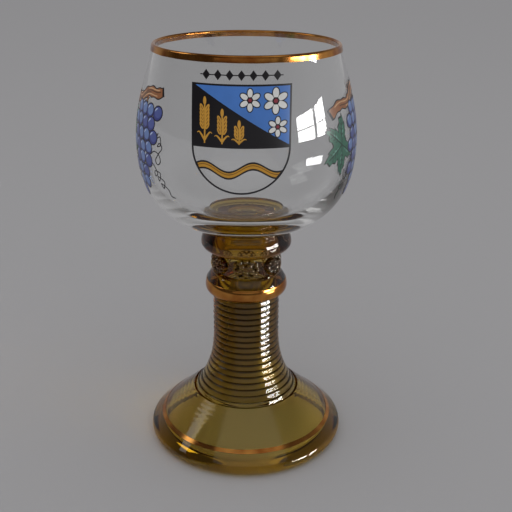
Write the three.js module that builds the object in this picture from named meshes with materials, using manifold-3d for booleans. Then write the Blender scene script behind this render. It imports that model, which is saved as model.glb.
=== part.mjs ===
import * as THREE from "three";
import { mergeVertices } from "three/addons/utils/BufferGeometryUtils.js";
import Module from "manifold-3d";

// A roemer: a clear bowl on a hollow olive stem with raspberry prunts, rings and a domed foot.
// Millimetres, +Z up, the origin at the centre of the foot's rest face, the front towards -Y.

// Turned pieces
const SECTORS = 32; // flats round every turned piece
const SEAM = 0.3; // clearance between two pieces of glass that are melted together
const ROUND_STEPS = 4; // flats along a lip, a bead's belly or its shoulder
const EDGE_STEPS = 7; // along the foot's thick edge
const FLARE_STEPS = 8; // along the hollow of the flare
const BOWL_STEPS = { lower: 8, innerLower: 7, upper: 6 };
const JOIN_TOLERANCE = 1e-4; // corners closer than this are one

// Foot
const FOOT_RADIUS = 36;
const FOOT_HEIGHT = 17.7;
const FOOT_WALL = 3; // square to its sloping faces
const FOOT_EDGE_ROUND = 2.6; // radius of the thick outer edge
const FOOT_REST_INNER_RADIUS = 32.4; // where the hollow begins on the rest face
const FOOT_HOLLOW_ROUND = 1.2; // radius of the hollow's corner above the rest face

// Ribbed stem
const STEM_HEIGHT = 38.5;
const STEM_RADIUS = 12.05; // over the ribs, above the flare
const STEM_WALL = 4.2; // from the rib crests to the hollow
const FLARE_SPREAD = 7.9; // how far the stem widens down to the foot
const FLARE_HEIGHT = 27.3; // from the foot up to the straight stretch
const FLARE_POWER = 3.1;
const RIB_PITCH = 2.24; // along the surface
const RIB_DEPTH = 0.85;
const RIB_CREST_WIDTH = 1.1; // flat stretch that stands for the rib's rounded crest

// Bead ring
const BEAD_HEIGHT = 8.1;
const BEAD_RADIUS = 14.7;
const BEAD_SHOULDER_RADIUS = 12.2; // where its sloping top meets the neck
const BEAD_BELLY_HEIGHT = 2.6; // widest level above its lower face
const BEAD_FOOT_RADIUS = 12.6; // of its lower face

// Neck and prunts
const NECK_HEIGHT = 7.8;
const NECK_RADIUS = 11.2;
const NECK_WAIST = 0.3; // how much its middle is drawn in
const PRUNT_COUNT = 6;
const PRUNT_WIDTH = 9.6;
const PRUNT_HEIGHT = 7.4;
const PRUNT_PAD = 0.9; // thickness of the pad under the berries
const PRUNT_FULLNESS = 4; // power of the pad's fall towards its edge
const BERRY_RADIUS = 1.25;
const INNER_BERRIES = 3;
const OUTER_BERRIES = 9;
const INNER_BERRY_RING = 0.34; // shares of the prunt's half width and height
const OUTER_BERRY_RING = 0.8;

// Collar
const COLLAR_HEIGHT = 7.7;
const COLLAR_RADIUS = 16.1;
const COLLAR_TOP_RADIUS = 14.1;
const COLLAR_BELLY_HEIGHT = 2.6; // widest level above its lower face
const COLLAR_FOOT_RADIUS = 12.4; // of its lower face
const COLLAR_HOLLOW_DEPTH = 3.6; // how far the stem's hollow rises into it

// Bowl
const BOWL_HEIGHT = 63.7;
const BOWL_RADIUS = 37.2;
const BOWL_BELLY_HEIGHT = 32.2; // widest level above its base
const BOWL_BASE_RADIUS = 14.6; // flat that stands on the collar
const RIM_RADIUS = 31.05;
const BOWL_WALL = 1.3;
const BOWL_FLOOR = 4.2;
const BASE_PULL = 16.3; // length of the curve's handle as it leaves the base
const BASE_SLOPE = 19.8; // degrees
const LOWER_BELLY_PULL = 19.5;
const UPPER_BELLY_PULL = 12;
const RIM_PULL = 7.4;
const RIM_SLOPE = 9.2; // degrees off upright
const FLOOR_PULL = 27; // the floor's curve, level at the axis
const INNER_BELLY_PULL = 22.5;

// Gilding and enamel
const SKIN_GAP = 0.1; // between a skin and the glass under it
const GILDING = 0.15; // thickness
const ENAMEL = 0.15; // thickness
const RIM_BAND_HEIGHT = 2.1;
const RIM_BAND_INSIDE = 0.8; // how far it laps down inside the lip
const BEAD_BAND_TOP = 5.2; // above the bead's lower face, along with the next
const BEAD_BAND_BOTTOM = 0.9;
const FOOT_BAND_RADIUS = 30.9; // middle of the painted ring
const FOOT_BAND_WIDTH = 2;

// Enamel pictures, placed by their turn from the front and by height above the bowl's base
const SHIELD_TURN = -2; // degrees
const SHIELD_WIDTH = 29.8;
const SHIELD_TOP = 55.7;
const SHIELD_DIVIDE = 37.4; // level of the line across it
const SHIELD_BOTTOM = 23;
const SHIELD_LINE = 0.55;
const WAVE_WIDTH = 2.6; // the band that crosses its open lower half
const WAVE_SWING = 1.5;
const WAVE_LEVEL = 30.6;
const WAVE_COUNT = 2;
const CURVE_STEPS = 16; // along the shield's foot and the band
const ORNAMENT_LENGTH = 24.6;
const ORNAMENT_LEVEL = 58.2;
const LOZENGE_COUNT = 7;
const LOZENGE_HEIGHT = 3;
const LOZENGE_WIDTH = 2.3;
const ORNAMENT_LINE = 0.3;
const VINE_TURNS = { left: -68, right: 72 }; // degrees
const GRAPE_RADIUS = 2.65;
const GRAPE_SIDE_COUNT = 8;
const GRAPE_SPACING = 4.6; // from one grape to the next in its row
const BUNCH_ROW_PITCH = 4.1;
const BUNCH_ROW_COUNTS = [4, 5, 4, 4, 3, 2, 1]; // grapes in each row, from the top
const BUNCH_SHIFT = 4; // from the middle of the picture
const BUNCH_TOP = 45.5;
const BRANCH_LEVEL = 48.9;
const BRANCH_LENGTH = 29;
const BRANCH_WIDTH = 3.4;
const BRANCH_SLOPE = 11.3; // degrees
const BRANCH_SWING = 0.7;
const BRANCH_STEPS = 6;
const LEAF_LEVEL = 35;
const LEAF_SHIFT = -11;
const LEAF_WIDTH = 16;
const LEAF_HEIGHT = 19.2;
const LEAF_NOTCH_WIDTH = 10.4; // across the bottoms of its notches
const LEAF_TIP_COUNT = 7;

// Levels
const stemBottom = FOOT_HEIGHT + SEAM;
const stemTop = stemBottom + STEM_HEIGHT;
const beadBottom = stemTop + SEAM;
const beadTop = beadBottom + BEAD_HEIGHT;
const neckBottom = beadTop + SEAM;
const neckTop = neckBottom + NECK_HEIGHT;
const collarBottom = neckTop + SEAM;
const collarTop = collarBottom + COLLAR_HEIGHT;
const bowlBottom = collarTop + SEAM;
const bowlTop = bowlBottom + BOWL_HEIGHT;
const bowlBelly = bowlBottom + BOWL_BELLY_HEIGHT;
const hollowRadius = STEM_RADIUS - STEM_WALL;

const wasm = await Module();
wasm.setup();

const glass = (color) =>
  new THREE.MeshStandardMaterial({ color, roughness: 0.05, metalness: 0, transparent: true, opacity: 0.45 });
const materials = {
  clear: glass(0xdfe4e2),
  olive: glass(0x6b6426),
  gold: new THREE.MeshStandardMaterial({ color: 0xc9822c, roughness: 0.25, metalness: 1 }),
  black: new THREE.MeshStandardMaterial({ color: 0x17151a, roughness: 0.4, metalness: 0 }),
  blue: new THREE.MeshStandardMaterial({ color: 0x5f6fa0, roughness: 0.4, metalness: 0 }),
};

const at = (r, z) => new THREE.Vector2(r, z);

// Leaves only positions, joins equal corners and drops faces that have shrunk to a line.
function bare(geometry) {
  const plain = geometry.clone();
  plain.deleteAttribute("normal");
  plain.deleteAttribute("uv");
  const joined = mergeVertices(plain, JOIN_TOLERANCE);
  const corners = joined.index.array;
  const kept = [];
  for (let i = 0; i < corners.length; i += 3) {
    const [a, b, c] = corners.slice(i, i + 3);
    if (a !== b && b !== c && c !== a) kept.push(a, b, c);
  }
  joined.setIndex(kept);
  joined.computeVertexNormals();
  return joined;
}

function solidOf(geometry) {
  const closed = bare(geometry);
  return new wasm.Manifold(
    new wasm.Mesh({
      numProp: 3,
      vertProperties: closed.attributes.position.array,
      triVerts: new Uint32Array(closed.index.array),
    }),
  );
}

function geometryOf(solid) {
  const mesh = solid.getMesh();
  const geometry = new THREE.BufferGeometry();
  geometry.setAttribute("position", new THREE.BufferAttribute(mesh.vertProperties, 3));
  geometry.setIndex(Array.from(mesh.triVerts));
  geometry.computeVertexNormals();
  return geometry;
}

// Turns a profile of radius and height about the upright axis. It runs up the outside.
function turned(profile) {
  return bare(new THREE.LatheGeometry(profile, SECTORS).rotateX(Math.PI / 2));
}

// Turns a profile that closes on itself.
const turnedRing = (profile) => turned([...profile, profile[0].clone()]);

// The point at a radius on the line through two points.
const onLine = (a, b, r) => a.clone().lerp(b, (r - a.x) / (b.x - a.x));

// Part of an ellipse, from one angle to another in degrees.
function arc(centre, radiusAcross, radiusUp, from, to, steps) {
  const points = [];
  for (let i = 0; i <= steps; i++) {
    const angle = THREE.MathUtils.degToRad(from + ((to - from) * i) / steps);
    points.push(at(centre.x + radiusAcross * Math.cos(angle), centre.y + radiusUp * Math.sin(angle)));
  }
  return points;
}

// Moves an open profile sideways, to its right when it runs up the outside.
function offset(profile, distance) {
  return profile.map((point, i) => {
    const before = profile[Math.max(i - 1, 0)];
    const after = profile[Math.min(i + 1, profile.length - 1)];
    const along = after.clone().sub(before).normalize();
    return at(point.x + along.y * distance, point.y - along.x * distance);
  });
}

// A thin skin that follows an open profile at the skin gap.
function skin(profile, thickness) {
  const inner = offset(profile, SKIN_GAP);
  const outer = offset(profile, SKIN_GAP + thickness);
  return turnedRing([...outer, ...inner.reverse()]);
}

// The stretch of a profile between two of its levels, with both ends cut exactly.
function between(profile, low, high) {
  const cut = [];
  for (let i = 0; i < profile.length - 1; i++) {
    const a = profile[i];
    const b = profile[i + 1];
    for (const level of [low, high]) {
      const share = (level - a.y) / (b.y - a.y);
      if (share > 0 && share < 1) cut.push(a.clone().lerp(b, share));
    }
    if (b.y > low && b.y < high) cut.push(b.clone());
  }
  return cut.sort((a, b) => a.y - b.y);
}

// Radius over the rib crests at a level.
function stemRadius(z) {
  const share = Math.max(0, 1 - (z - FOOT_HEIGHT) / FLARE_HEIGHT);
  return STEM_RADIUS + FLARE_SPREAD * share ** FLARE_POWER;
}

// How much that radius changes for each millimetre up.
function stemSlope(z) {
  const share = Math.max(0, 1 - (z - FOOT_HEIGHT) / FLARE_HEIGHT);
  return (-FLARE_POWER * FLARE_SPREAD * share ** (FLARE_POWER - 1)) / FLARE_HEIGHT;
}

// The foot's outside, from the rest face round the thick edge and up the slope.
function footOutside() {
  const top = at(stemRadius(FOOT_HEIGHT), FOOT_HEIGHT);
  const edge = at(FOOT_RADIUS - FOOT_EDGE_ROUND, FOOT_EDGE_ROUND);
  const reach = top.clone().sub(edge);
  // the slope leaves the round edge where their directions agree
  const leave = reach.angle() - Math.acos(FOOT_EDGE_ROUND / reach.length());
  const slopeStart = THREE.MathUtils.radToDeg(leave);
  return [...arc(edge, FOOT_EDGE_ROUND, FOOT_EDGE_ROUND, -90, slopeStart, EDGE_STEPS), top];
}

// The foot's hollow, from the rest face up to the stem's hollow.
function footHollow() {
  const [low, high] = offset(footOutside().slice(-2), -FOOT_WALL);
  const corner = onLine(low, high, FOOT_REST_INNER_RADIUS);
  const mouth = at(stemRadius(FOOT_HEIGHT) - STEM_WALL, FOOT_HEIGHT);
  return [
    at(FOOT_REST_INNER_RADIUS, 0),
    at(FOOT_REST_INNER_RADIUS, corner.y - FOOT_HOLLOW_ROUND),
    onLine(low, high, FOOT_REST_INNER_RADIUS - FOOT_HOLLOW_ROUND),
    onLine(low, high, mouth.x + FOOT_HOLLOW_ROUND),
    mouth,
  ];
}

function domedFoot() {
  return turnedRing([...footOutside(), ...footHollow().reverse()]);
}

// The outside of the ribbed stem, from the foot up: a groove, then a crest, one rib after another.
function ribs() {
  const point = (level, depth) => {
    const length = Math.hypot(1, stemSlope(level));
    return at(stemRadius(level) - depth / length, level + (depth * stemSlope(level)) / length);
  };
  const flank = (RIB_PITCH - RIB_CREST_WIDTH) / 2;
  const profile = [at(stemRadius(stemBottom), stemBottom)];
  for (let z = stemBottom; ; ) {
    const rise = 1 / Math.hypot(1, stemSlope(z));
    const next = z + RIB_PITCH * rise;
    if (next > stemTop - flank) break;
    profile.push(point(z + RIB_CREST_WIDTH * rise, 0));
    profile.push(point(z + (RIB_CREST_WIDTH + flank) * rise, RIB_DEPTH));
    profile.push(point(next, 0));
    z = next;
  }
  profile.push(at(stemRadius(stemTop), stemTop));
  return profile;
}

function stemHollow() {
  const points = [];
  for (let i = 0; i <= FLARE_STEPS; i++) {
    const z = stemBottom + ((FLARE_HEIGHT - SEAM) * i) / FLARE_STEPS;
    points.push(at(stemRadius(z) - STEM_WALL, z));
  }
  points.push(at(hollowRadius, stemTop));
  return points;
}

function ribbedStem() {
  return turnedRing([...ribs(), ...stemHollow().reverse()]);
}

// The bead's outside, from its lower face up to the neck.
function beadOutside() {
  const belly = at(BEAD_FOOT_RADIUS, beadBottom + BEAD_BELLY_HEIGHT);
  const under = arc(belly, BEAD_RADIUS - BEAD_FOOT_RADIUS, BEAD_BELLY_HEIGHT, -90, 0, ROUND_STEPS);
  const shoulder = new THREE.QuadraticBezierCurve(
    at(BEAD_RADIUS, belly.y),
    at(BEAD_RADIUS, (belly.y + beadTop) / 2),
    at(BEAD_SHOULDER_RADIUS, beadTop),
  ).getPoints(ROUND_STEPS);
  return [...under, ...shoulder.slice(1)];
}

function beadRing() {
  return turnedRing([...beadOutside(), at(hollowRadius, beadTop), at(hollowRadius, beadBottom)]);
}

function neckTube() {
  const middle = (neckBottom + neckTop) / 2;
  return turnedRing([
    at(NECK_RADIUS, neckBottom),
    at(NECK_RADIUS - NECK_WAIST, middle),
    at(NECK_RADIUS, neckTop),
    at(hollowRadius, neckTop),
    at(hollowRadius, neckBottom),
  ]);
}

// Where the berries of a prunt sit, across and up from its middle.
function berryPlaces() {
  const places = [];
  const ring = (count, share) => {
    for (let i = 0; i < count; i++) {
      const angle = (2 * Math.PI * i) / count;
      const across = ((PRUNT_WIDTH * share) / 2) * Math.sin(angle);
      places.push(at(across, ((PRUNT_HEIGHT * share) / 2) * Math.cos(angle)));
    }
  };
  ring(INNER_BERRIES, INNER_BERRY_RING);
  ring(OUTER_BERRIES, OUTER_BERRY_RING);
  return places;
}

// An oval pad bent round the neck, its face swelling into rings of berries.
function raspberryPrunt() {
  const seat = NECK_RADIUS + SEAM;
  const middle = (neckBottom + neckTop) / 2;
  const places = berryPlaces();
  const columns = 2 * OUTER_BERRIES;
  const vertices = [];
  const faces = [];
  const corner = (share, column, front) => {
    const angle = (2 * Math.PI * column) / columns;
    const across = ((PRUNT_WIDTH * share) / 2) * Math.sin(angle);
    const spot = at(across, ((PRUNT_HEIGHT * share) / 2) * Math.cos(angle));
    const fall = (place) => Math.max(0, BERRY_RADIUS ** 2 - spot.distanceToSquared(place));
    const swell = places.map((place) => Math.sqrt(fall(place)));
    const height = front ? PRUNT_PAD * (1 - share ** PRUNT_FULLNESS) + Math.max(...swell) : 0;
    const turn = spot.x / seat;
    vertices.push((seat + height) * Math.sin(turn), -(seat + height) * Math.cos(turn), middle + spot.y);
  };
  // rings of corners: over the berries, round the pad's edge and back across its seat
  const rings = [
    [INNER_BERRY_RING, true],
    [(INNER_BERRY_RING + OUTER_BERRY_RING) / 2, true],
    [OUTER_BERRY_RING, true],
    [1, false],
    [1 / 2, false],
  ];
  corner(0, 0, true);
  rings.forEach(([share, front]) => {
    for (let column = 0; column < columns; column++) corner(share, column, front);
  });
  corner(0, 0, false);
  const last = 1 + rings.length * columns;
  for (let column = 0; column < columns; column++) {
    const next = (column + 1) % columns;
    faces.push(0, 1 + next, 1 + column);
    for (let ring = 0; ring < rings.length - 1; ring++) {
      const a = 1 + ring * columns;
      const b = a + columns;
      faces.push(a + column, a + next, b + next, a + column, b + next, b + column);
    }
    faces.push(last, last - columns + column, last - columns + next);
  }
  const geometry = new THREE.BufferGeometry();
  geometry.setAttribute("position", new THREE.Float32BufferAttribute(vertices, 3));
  geometry.setIndex(faces);
  geometry.computeVertexNormals();
  return geometry;
}

function collarRing() {
  const belly = at(COLLAR_FOOT_RADIUS, collarBottom + COLLAR_BELLY_HEIGHT);
  const under = arc(belly, COLLAR_RADIUS - COLLAR_FOOT_RADIUS, COLLAR_BELLY_HEIGHT, -90, 0, ROUND_STEPS);
  const upper = new THREE.QuadraticBezierCurve(
    at(COLLAR_RADIUS, belly.y),
    at(COLLAR_RADIUS, (belly.y + collarTop) / 2),
    at(COLLAR_TOP_RADIUS, collarTop),
  ).getPoints(ROUND_STEPS);
  const dome = arc(at(0, collarBottom), hollowRadius, COLLAR_HOLLOW_DEPTH, 90, 0, ROUND_STEPS);
  dome[0].x = 0;
  return turned([...dome, ...under, ...upper.slice(1), at(0, collarTop)]);
}

// The bowl's outside, from the edge of its base up to the lip.
function bowlOutside() {
  const slope = THREE.MathUtils.degToRad(BASE_SLOPE);
  const lean = THREE.MathUtils.degToRad(RIM_SLOPE);
  const lip = bowlTop - BOWL_WALL / 2;
  const lower = new THREE.CubicBezierCurve(
    at(BOWL_BASE_RADIUS, bowlBottom),
    at(BOWL_BASE_RADIUS + BASE_PULL * Math.cos(slope), bowlBottom + BASE_PULL * Math.sin(slope)),
    at(BOWL_RADIUS, bowlBelly - LOWER_BELLY_PULL),
    at(BOWL_RADIUS, bowlBelly),
  );
  const upper = new THREE.CubicBezierCurve(
    at(BOWL_RADIUS, bowlBelly),
    at(BOWL_RADIUS, bowlBelly + UPPER_BELLY_PULL),
    at(RIM_RADIUS + RIM_PULL * Math.sin(lean), lip - RIM_PULL * Math.cos(lean)),
    at(RIM_RADIUS, lip),
  );
  return [...lower.getPoints(BOWL_STEPS.lower), ...upper.getPoints(BOWL_STEPS.upper).slice(1)];
}

function bowlInside() {
  const lean = THREE.MathUtils.degToRad(RIM_SLOPE);
  const lip = bowlTop - BOWL_WALL / 2;
  const floor = bowlBottom + BOWL_FLOOR;
  const belly = BOWL_RADIUS - BOWL_WALL;
  const rim = RIM_RADIUS - BOWL_WALL;
  const lower = new THREE.CubicBezierCurve(
    at(0, floor),
    at(FLOOR_PULL, floor),
    at(belly, bowlBelly - INNER_BELLY_PULL),
    at(belly, bowlBelly),
  );
  const upper = new THREE.CubicBezierCurve(
    at(belly, bowlBelly),
    at(belly, bowlBelly + UPPER_BELLY_PULL),
    at(rim + RIM_PULL * Math.sin(lean), lip - RIM_PULL * Math.cos(lean)),
    at(rim, lip),
  );
  return [...lower.getPoints(BOWL_STEPS.innerLower), ...upper.getPoints(BOWL_STEPS.upper).slice(1)];
}

// The rounded lip, from the outside over to the inside.
function lip() {
  const middle = at(RIM_RADIUS - BOWL_WALL / 2, bowlTop - BOWL_WALL / 2);
  return arc(middle, BOWL_WALL / 2, BOWL_WALL / 2, 0, 180, ROUND_STEPS).slice(1, -1);
}

function bowl() {
  return turned([at(0, bowlBottom), ...bowlOutside(), ...lip(), ...bowlInside().reverse()]);
}

function rimGilding() {
  const outside = between(bowlOutside(), bowlTop - RIM_BAND_HEIGHT, bowlTop);
  const inside = between(bowlInside(), bowlTop - RIM_BAND_INSIDE, bowlTop).reverse();
  return skin([...outside, ...lip(), ...inside], GILDING);
}

function beadGilding() {
  const stretch = between(beadOutside(), beadBottom + BEAD_BAND_BOTTOM, beadBottom + BEAD_BAND_TOP);
  return skin(stretch, GILDING);
}

function footGilding() {
  const [edge, top] = footOutside().slice(-2);
  const half = ((FOOT_BAND_WIDTH / 2) * (edge.x - top.x)) / edge.distanceTo(top);
  const band = [FOOT_BAND_RADIUS + half, FOOT_BAND_RADIUS - half].map((r) => onLine(edge, top, r));
  return skin(band, GILDING);
}

// A closed outline of points as an upright solid, from inside the bowl out past its front.
function slab(points) {
  const upright = { depth: BOWL_RADIUS, bevelEnabled: false, curveSegments: 1 };
  const body = new THREE.ExtrudeGeometry(new THREE.Shape(points), upright);
  return solidOf(body.rotateX(Math.PI / 2).translate(0, -BOWL_RADIUS / 2, bowlBottom));
}

// Lays an outline of slabs on the bowl, turned from the front by an angle in degrees.
function enamel(slabs, turn) {
  const outside = bowlOutside();
  const shell = solidOf(skin(outside, ENAMEL));
  const outline = wasm.Manifold.union(slabs).rotate([0, 0, turn]);
  return geometryOf(shell.intersect(outline));
}

function ellipsePoints(x, z, across, up, count) {
  const points = [];
  for (let i = 0; i < count; i++) {
    const angle = (2 * Math.PI * i) / count;
    points.push(at(x + across * Math.cos(angle), z + up * Math.sin(angle)));
  }
  return points;
}

// A ribbon of even width along a line that is given by a function of x.
function ribbon(from, to, width, steps, level) {
  const lower = [];
  const upper = [];
  for (let i = 0; i <= steps; i++) {
    const x = from + ((to - from) * i) / steps;
    lower.push(at(x, level(x) - width / 2));
    upper.push(at(x, level(x) + width / 2));
  }
  return [...lower, ...upper.reverse()];
}

// Painted upper half, an open lower half inside a line, and a wavy band across it.
function shieldPrint() {
  const half = SHIELD_WIDTH / 2;
  const fall = SHIELD_DIVIDE - SHIELD_BOTTOM;
  const upper = slab([
    at(-half, SHIELD_DIVIDE),
    at(half, SHIELD_DIVIDE),
    at(half, SHIELD_TOP),
    at(-half, SHIELD_TOP),
  ]);
  const round = (inset) => [
    ...arc(at(0, SHIELD_DIVIDE), half - inset, fall - inset, 180, 360, CURVE_STEPS),
    at(half - inset, SHIELD_DIVIDE + SHIELD_LINE),
    at(-half + inset, SHIELD_DIVIDE + SHIELD_LINE),
  ];
  const open = slab(round(SHIELD_LINE));
  const line = slab(round(0)).subtract(open);
  const level = (x) => WAVE_LEVEL + WAVE_SWING * Math.sin((2 * Math.PI * WAVE_COUNT * x) / SHIELD_WIDTH);
  const wave = slab(ribbon(-half, half, WAVE_WIDTH, CURVE_STEPS, level)).intersect(slab(round(0)));
  return enamel([upper, line, wave], SHIELD_TURN);
}

// A row of lozenges strung on a thin line.
function ornamentPrint() {
  const half = ORNAMENT_LENGTH / 2;
  const slabs = [slab(ribbon(-half, half, ORNAMENT_LINE, 1, () => ORNAMENT_LEVEL))];
  const corners = 4;
  for (let i = 0; i < LOZENGE_COUNT; i++) {
    const x = (ORNAMENT_LENGTH / LOZENGE_COUNT) * (i - (LOZENGE_COUNT - 1) / 2);
    slabs.push(slab(ellipsePoints(x, ORNAMENT_LEVEL, LOZENGE_WIDTH / 2, LOZENGE_HEIGHT / 2, corners)));
  }
  return enamel(slabs, SHIELD_TURN);
}

// A bunch of grapes that hangs from a bent branch, with a leaf beside it.
function grapePrint(turn) {
  const slabs = [];
  BUNCH_ROW_COUNTS.forEach((count, row) => {
    for (let i = 0; i < count; i++) {
      const x = BUNCH_SHIFT + GRAPE_SPACING * (i - (count - 1) / 2);
      const level = BUNCH_TOP - BUNCH_ROW_PITCH * row;
      slabs.push(slab(ellipsePoints(x, level, GRAPE_RADIUS, GRAPE_RADIUS, GRAPE_SIDE_COUNT)));
    }
  });
  const climb = Math.tan(THREE.MathUtils.degToRad(BRANCH_SLOPE));
  const swing = (x) => BRANCH_SWING * Math.sin((4 * Math.PI * x) / BRANCH_LENGTH);
  const bend = (x) => BRANCH_LEVEL + climb * x + swing(x);
  slabs.push(slab(ribbon(-BRANCH_LENGTH / 2, BRANCH_LENGTH / 2, BRANCH_WIDTH, BRANCH_STEPS, bend)));
  const leaf = [];
  for (let i = 0; i < 2 * LEAF_TIP_COUNT; i++) {
    const angle = (Math.PI * i) / LEAF_TIP_COUNT;
    const across = (i % 2 ? LEAF_NOTCH_WIDTH : LEAF_WIDTH) / 2;
    const up = (across * LEAF_HEIGHT) / LEAF_WIDTH;
    leaf.push(at(LEAF_SHIFT + across * Math.cos(angle), LEAF_LEVEL + up * Math.sin(angle)));
  }
  slabs.push(slab(leaf));
  return enamel(slabs, turn);
}

const roemer = new THREE.Group();

function add(name, geometry, material) {
  const mesh = new THREE.Mesh(geometry, material);
  mesh.name = name;
  roemer.add(mesh);
  return mesh;
}

add("domed_foot", domedFoot(), materials.olive);
add("ribbed_stem", ribbedStem(), materials.olive);
add("bead_ring", beadRing(), materials.olive);
add("neck_tube", neckTube(), materials.olive);
const prunt = raspberryPrunt();
for (let i = 0; i < PRUNT_COUNT; i++) {
  add(`raspberry_prunt_${i + 1}`, prunt, materials.olive).rotation.z = (2 * Math.PI * i) / PRUNT_COUNT;
}
add("collar_ring", collarRing(), materials.olive);
add("bowl", bowl(), materials.clear);
add("rim_gilding", rimGilding(), materials.gold);
add("bead_gilding", beadGilding(), materials.gold);
add("foot_gilding", footGilding(), materials.gold);
add("shield_print", shieldPrint(), materials.black);
add("ornament_print", ornamentPrint(), materials.black);
add("grape_print_left", grapePrint(VINE_TURNS.left), materials.blue);
add("grape_print_right", grapePrint(VINE_TURNS.right), materials.blue);

export default roemer;
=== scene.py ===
"""A roemer: clear bowl, ribbed olive stem with raspberry prunts, domed foot, fired gold and enamel.

Sizes are in millimetres until a mesh is made, +Z up, the front towards -Y.
"""

import math
import random

import bpy
import numpy as np
from mathutils import Matrix, Vector
from mathutils.geometry import delaunay_2d_cdt


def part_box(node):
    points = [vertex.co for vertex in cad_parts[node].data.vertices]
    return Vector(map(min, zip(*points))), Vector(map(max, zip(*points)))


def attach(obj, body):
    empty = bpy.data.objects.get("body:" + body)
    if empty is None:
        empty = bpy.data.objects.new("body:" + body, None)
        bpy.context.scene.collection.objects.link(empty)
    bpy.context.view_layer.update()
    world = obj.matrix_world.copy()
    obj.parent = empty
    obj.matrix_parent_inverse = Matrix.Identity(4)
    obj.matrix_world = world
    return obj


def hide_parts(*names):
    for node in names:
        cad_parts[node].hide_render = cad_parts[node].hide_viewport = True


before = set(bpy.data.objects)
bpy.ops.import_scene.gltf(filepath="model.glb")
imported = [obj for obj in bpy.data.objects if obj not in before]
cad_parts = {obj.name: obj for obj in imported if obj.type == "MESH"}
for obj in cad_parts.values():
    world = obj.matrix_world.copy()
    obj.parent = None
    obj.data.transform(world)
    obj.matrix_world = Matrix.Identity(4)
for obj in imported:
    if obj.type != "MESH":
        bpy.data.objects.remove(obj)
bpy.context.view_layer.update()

MM = 0.001
TINY = 1e-6  # a shorter distance than this is none

# Turned pieces
SECTORS = 224  # facets round a turned piece
MELTED_FILM = 0.02  # what is left between two pieces that are melted together
SMOOTH_ANGLE = math.radians(40)  # edges sharper than this stay sharp

# Foot
FOOT_WALL = 3.0
FOOT_EDGE_ROUND = 2.6
FOOT_REST_INNER_RADIUS = 30.2
FOOT_HOLLOW_ROUND = 1.2
FOOT_SLOPE_STEPS = 160
FOOT_RIPPLE = 0.05  # turning marks on the slope, strongest next to the ribs
FOOT_RIPPLE_PITCH = 1.9
FOOT_RIPPLE_RISE = 3  # power by which they grow from the foot's edge to the ribs

# Ribbed stem
STEM_RADIUS = 12.05
STEM_HOLLOW_RADIUS = 7.85
HOLLOW_MOUTH_RADIUS = 15.75  # where the hollow meets the one under the foot
FLARE_SPREAD = 7.9  # how much wider the stem is at the foot
FLARE_HEIGHT = 27.3
FLARE_POWER = 3.1
RIB_PITCH = 2.24
RIB_DEPTH = 0.85
RIB_FULLEST = 0.76  # where a rib stands out most, as a share of the pitch down from the groove above it
RIB_LEAN = math.radians(19)  # how far a rib's face leans back
RIB_DEPTH_LOW = 0.55  # how far a rib's lower edge may sink where the stem slopes
RIB_FACE_PULLS = (0.02, 0.4)  # where a rib's face is drawn to its leaning line, as shares of the pitch
RIB_UNDER_PULLS = ((-0.02, 0.88), (0.1, 0.98))  # the round underside: added depth, share of the pitch
BASE_STEPS = 400  # points along the stem before the ribs are cut
GROOVE_EDGE = 0.42  # where the painted shade in a groove begins, as a share of the pitch down from its bottom
GROOVE_DARK = 0.25  # where it is darkest
GROOVE_EASE = 0.25  # how much narrower the painted shade is at the foot than on the straight stem
UNDER_DARK = 0.97  # from this share of the pitch on, a rib's underside has painted shade too
HOLLOW_NEAR = 0.1  # a point this close to the hollow's wall is on it
STEM_HOLLOW_DULL = 1.0  # how dull the hollow's wall is there
BEAD_HOLLOW_DULL = 0.35
NECK_HOLLOW_DULL = 0.15

# Bead, neck and prunts
BEAD_SHOULDER_RADIUS = 12.2
BEAD_BELLY_HEIGHT = 2.6
BEAD_FOOT_RADIUS = 12.6
NECK_WAIST = 0.3  # how much the neck narrows halfway up
NECK_LEVELS = 41
PRUNT_COUNT = 6
PRUNT_WIDTH = 9.6
PRUNT_HEIGHT = 7.7
PRUNT_PAD = 0.9
PRUNT_PAD_ROUND = 4  # power by which the pad falls off towards its edge
PRUNT_EDGE_RISE = 9  # how steeply the berries rise from the pad's edge
PRUNT_COLUMNS = 96
PRUNT_RINGS = 26
PRUNT_RING_POWER = 0.85  # spaces the rings closer towards the edge
PRUNT_BACK_RINGS = (0.66, 0.33)
PRUNT_SMOOTH_ANGLE = math.radians(75)
PRUNT_SEAT = 0.97  # how far out under a prunt the neck is melted to it
PRUNT_SEAM = 0.95  # from here out, a prunt's edge has painted shade where it meets the neck
PRUNT_SEAM_RISE = 12
BERRY_RADIUS = 1.3
MIDDLE_BERRY_LIFT = 0.15
BERRY_RINGS = ((5, 0.42, 0.92, 0.5), (11, 0.83, 0.82, 0.0))  # count, how far out, size, turn in steps
VALLEY_EDGE = 0.56  # where painted shade begins on a berry towards the valley round it: 1 at its middle, 0 at its edge
VALLEY_DARK = 0.3  # where it is darkest

# Collar
COLLAR_TOP_RADIUS = 14.1
COLLAR_BELLY_HEIGHT = 2.6
COLLAR_FOOT_RADIUS = 12.4
COLLAR_HOLLOW_DEPTH = 3.6  # the dome that closes the hollow
SEAM_DARK = 0.35  # how far up the collar the painted shade over its seam with the neck goes
# how dark the painted shade over the collar's seam is
SEAM_SHADE = 0.8

# Bowl
BOWL_BELLY_HEIGHT = 32.2
BOWL_BASE_RADIUS = 14.6
RIM_RADIUS = 31.05
BOWL_WALL = 1.3
BOWL_FLOOR = 4.5
BASE_PULL = 16.3  # a pull is how far a curve is drawn from its end before it bends
BASE_SLOPE = math.radians(19.8)
LOWER_BELLY_PULL = 19.5
UPPER_BELLY_PULL = 12.0
RIM_PULL = 7.4
RIM_SLOPE = math.radians(9.2)
FLOOR_PULL = 22.0
INNER_BELLY_PULL = 22.5

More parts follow.
